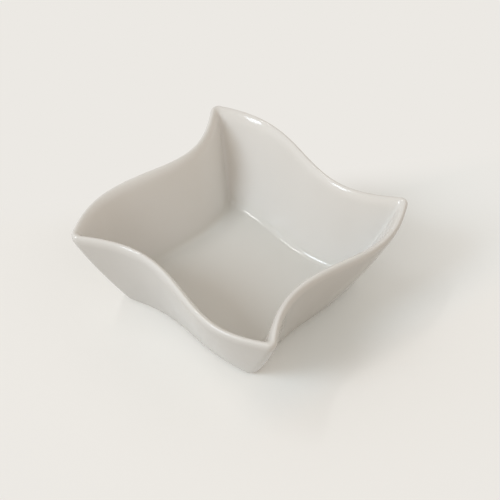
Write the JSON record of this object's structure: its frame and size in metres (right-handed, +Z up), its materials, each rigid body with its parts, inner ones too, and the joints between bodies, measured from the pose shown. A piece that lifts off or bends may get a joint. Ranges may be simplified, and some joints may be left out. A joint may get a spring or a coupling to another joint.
{
  "type": "sauce dish",
  "caption": "Small square sauce dish in white glazed porcelain, with flaring walls, an S-curved rim that turns like a pinwheel and a bare foot ring.",
  "frame": {"origin": "centre of the dish on the table, under the middle of the foot ring", "axes": "+Z up out of the dish; the rim's four tips lie on the diagonals between X and Y"},
  "size_m": [0.0936, 0.0936, 0.036],
  "materials": {
    "bare_porcelain": "unglazed, fine and matt",
    "white_glaze": "clear glossy glaze over white clay"
  },
  "bodies": {
    "root": {"porcelain_body": "bare_porcelain", "glaze_coat": "white_glaze", "underside_glaze": "white_glaze"}
  },
  "joints": []
}
